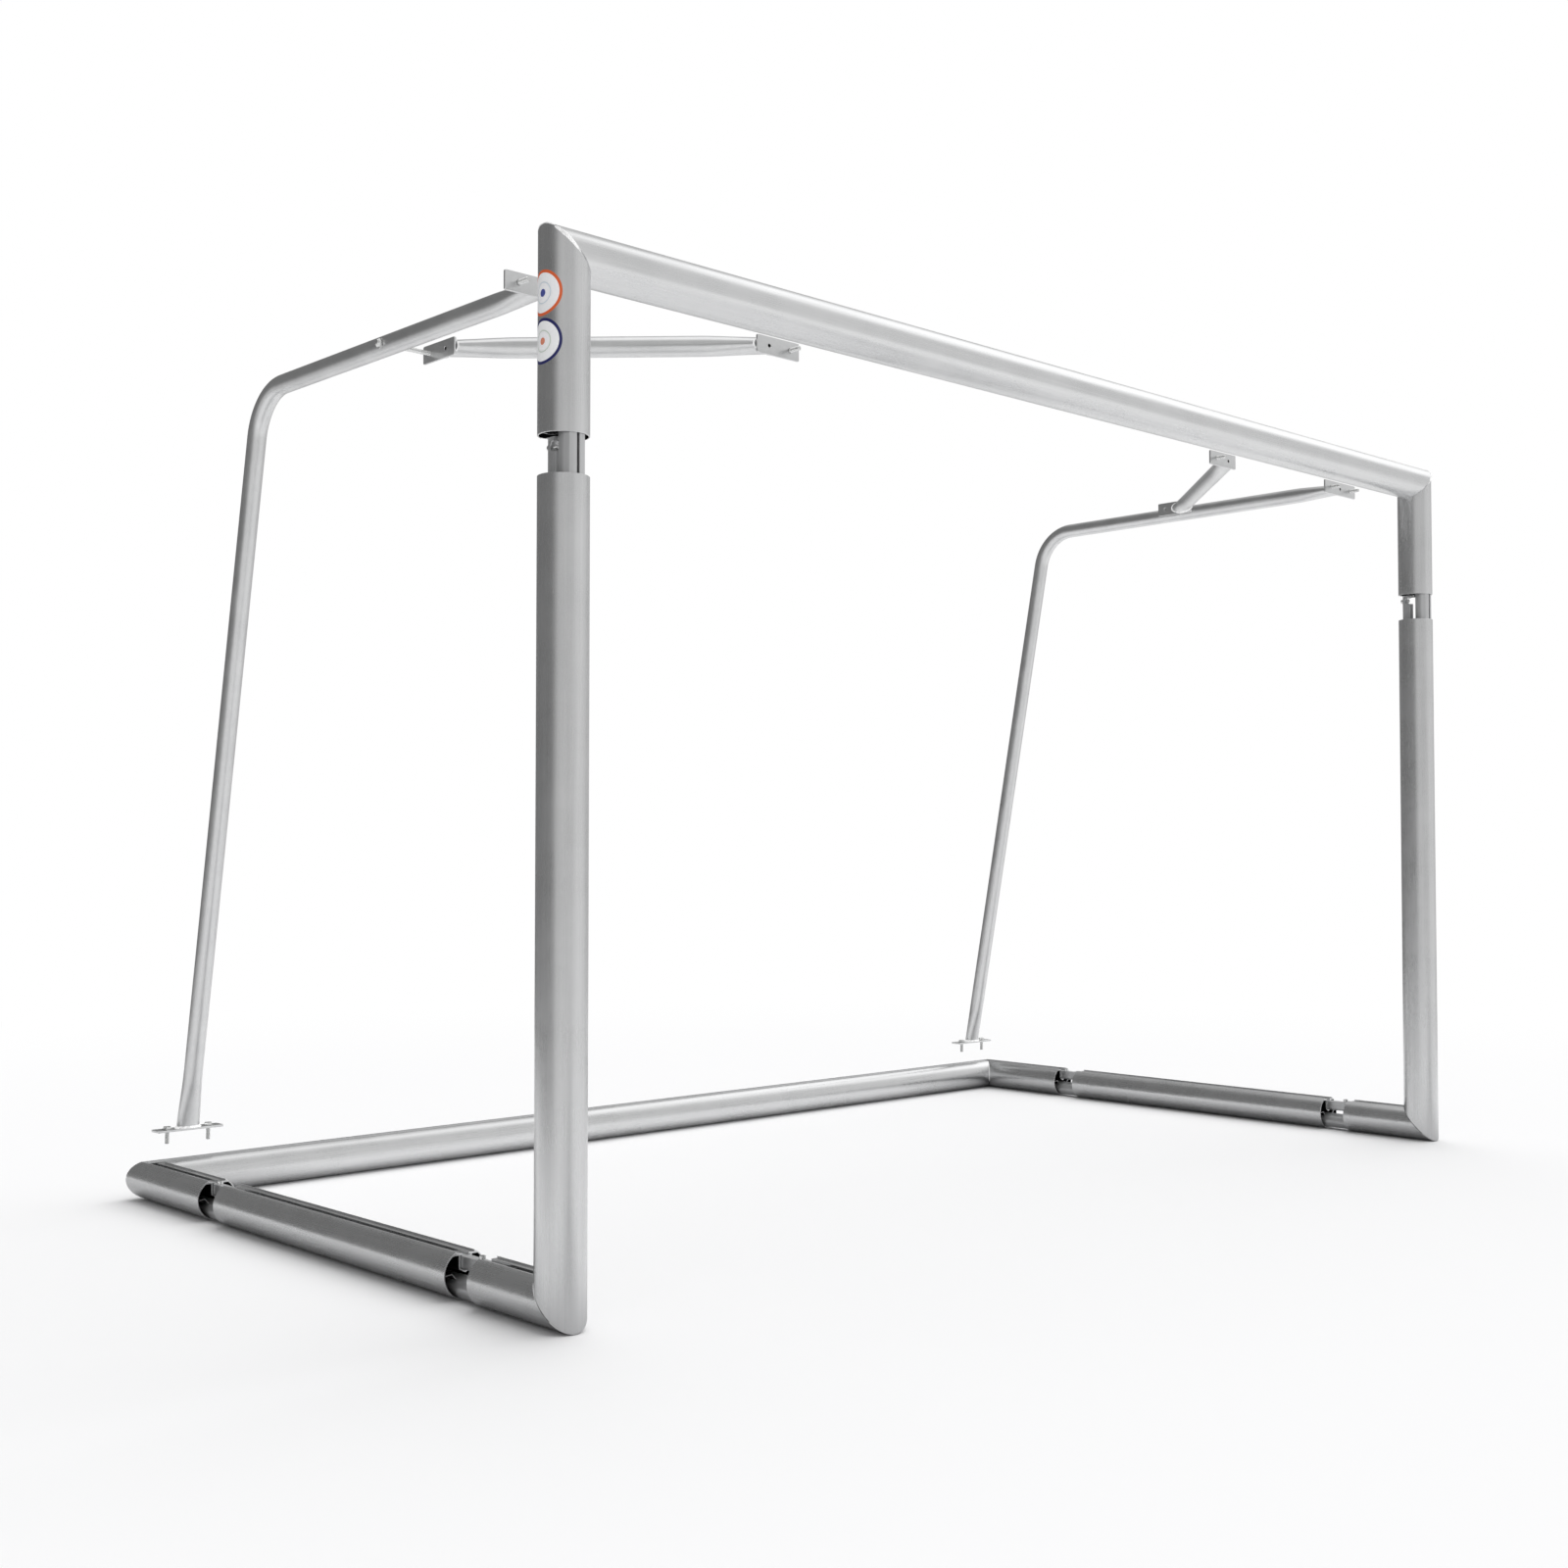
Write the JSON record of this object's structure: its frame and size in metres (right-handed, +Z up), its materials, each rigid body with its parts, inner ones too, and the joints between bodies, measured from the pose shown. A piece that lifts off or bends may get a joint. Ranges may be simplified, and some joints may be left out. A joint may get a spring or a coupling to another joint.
{
  "type": "soccer goal frame",
  "caption": "Portable aluminium soccer goal frame with a round grooved tube mouth, plug-in corner joints, bent steel rear stays and corner braces, for hanging a goal net.",
  "frame": {"origin": "on the ground, midway between the two posts, in the plane of the post axes", "axes": "+X along the crossbar, +Y to the back of the goal, +Z up"},
  "size_m": [3.19, 1.746, 1.968],
  "materials": {
    "anodised_tube": "satin natural anodised, fine lines along the tube",
    "cast_connector": "plain mill-finish alloy",
    "galvanised_steel": "satin galvanised steel",
    "bright_bolt": "bright zinc plated"
  },
  "bodies": {
    "rear_unit": {"rear_bar": "anodised_tube", "left_rear_stub": "anodised_tube", "left_rear_connector": "cast_connector", "left_rear_clamp": "cast_connector", "left_rear_clamp_screw": "bright_bolt", "left_foot_slot_nut": "galvanised_steel", "right_rear_stub": "anodised_tube", "right_rear_connector": "cast_connector", "right_rear_clamp": "cast_connector", "right_rear_clamp_screw": "bright_bolt", "right_foot_slot_nut": "galvanised_steel"},
    "left_rail_unit": {"left_base_rail": "anodised_tube"},
    "right_rail_unit": {"right_base_rail": "anodised_tube"},
    "left_front_unit": {"left_lower_post": "anodised_tube", "left_front_stub": "anodised_tube", "left_front_connector": "cast_connector", "left_front_clamp": "cast_connector", "left_front_clamp_screw": "bright_bolt"},
    "right_front_unit": {"right_lower_post": "anodised_tube", "right_front_stub": "anodised_tube", "right_front_connector": "cast_connector", "right_front_clamp": "cast_connector", "right_front_clamp_screw": "bright_bolt"},
    "top_unit": {"crossbar": "anodised_tube", "left_top_stub": "anodised_tube", "left_post_connector": "cast_connector", "left_post_clamp": "cast_connector", "left_post_clamp_screw": "bright_bolt", "left_bracket_slot_nut": "galvanised_steel", "right_top_stub": "anodised_tube", "right_post_connector": "cast_connector", "right_post_clamp": "cast_connector", "right_post_clamp_screw": "bright_bolt", "right_bracket_slot_nut": "galvanised_steel"},
    "left_stay": {"left_stay_tube": "galvanised_steel", "left_foot_plate": "galvanised_steel", "left_top_bracket": "galvanised_steel", "left_foot_outer_bolt": "bright_bolt", "left_foot_inner_bolt": "bright_bolt", "left_bracket_outer_bolt": "bright_bolt", "left_bracket_inner_bolt": "bright_bolt", "left_brace_stay_bolt": "bright_bolt"},
    "left_brace": {"left_brace_tube": "galvanised_steel", "left_brace_stay_plate": "galvanised_steel", "left_brace_bar_plate": "galvanised_steel", "left_brace_bar_bolt": "bright_bolt"},
    "left_slot_nut": {"left_brace_slot_nut": "galvanised_steel"},
    "right_stay": {"right_stay_tube": "galvanised_steel", "right_foot_plate": "galvanised_steel", "right_top_bracket": "galvanised_steel", "right_foot_outer_bolt": "bright_bolt", "right_foot_inner_bolt": "bright_bolt", "right_bracket_outer_bolt": "bright_bolt", "right_bracket_inner_bolt": "bright_bolt", "right_brace_stay_bolt": "bright_bolt"},
    "right_brace": {"right_brace_tube": "galvanised_steel", "right_brace_stay_plate": "galvanised_steel", "right_brace_bar_plate": "galvanised_steel", "right_brace_bar_bolt": "bright_bolt"},
    "right_slot_nut": {"right_brace_slot_nut": "galvanised_steel"}
  },
  "joints": [
    {"name": "left_rear_joint", "type": "slide", "parent": "rear_unit", "child": "left_rail_unit", "axis": [0, 1, 0], "range_m": [0, 0.075]},
    {"name": "right_rear_joint", "type": "slide", "parent": "rear_unit", "child": "right_rail_unit", "axis": [0, 1, 0], "range_m": [0, 0.075]},
    {"name": "left_front_joint", "type": "slide", "parent": "left_rail_unit", "child": "left_front_unit", "axis": [0, 1, 0], "range_m": [0, 0.075]},
    {"name": "right_front_joint", "type": "slide", "parent": "right_rail_unit", "child": "right_front_unit", "axis": [0, 1, 0], "range_m": [0, 0.075]},
    {"name": "post_joints", "type": "slide", "parent": "left_front_unit", "child": "top_unit", "axis": [0, 0, -1], "range_m": [0, 0.0725]},
    {"name": "left_stay_drop", "type": "slide", "parent": "rear_unit", "child": "left_stay", "axis": [0, 0, -1], "range_m": [0, 0.0725]},
    {"name": "right_stay_drop", "type": "slide", "parent": "rear_unit", "child": "right_stay", "axis": [0, 0, -1], "range_m": [0, 0.0725]},
    {"name": "left_brace_joint", "type": "slide", "parent": "left_stay", "child": "left_brace", "axis": [-1, 0, 0], "range_m": [0, 0.079]},
    {"name": "right_brace_joint", "type": "slide", "parent": "right_stay", "child": "right_brace", "axis": [1, 0, 0], "range_m": [0, 0.079]},
    {"name": "left_slot_nut_slide", "type": "slide", "parent": "top_unit", "child": "left_slot_nut", "axis": [-1, 0, 0], "range_m": [0, 0.079]},
    {"name": "right_slot_nut_slide", "type": "slide", "parent": "top_unit", "child": "right_slot_nut", "axis": [1, 0, 0], "range_m": [0, 0.079]}
  ],
  "couplings": [
    {"joint": "right_rear_joint", "follows": "left_rear_joint", "ratio": 1},
    {"joint": "right_front_joint", "follows": "left_front_joint", "ratio": 1},
    {"joint": "left_slot_nut_slide", "follows": "left_brace_joint", "ratio": 1},
    {"joint": "right_slot_nut_slide", "follows": "right_brace_joint", "ratio": 1}
  ]
}
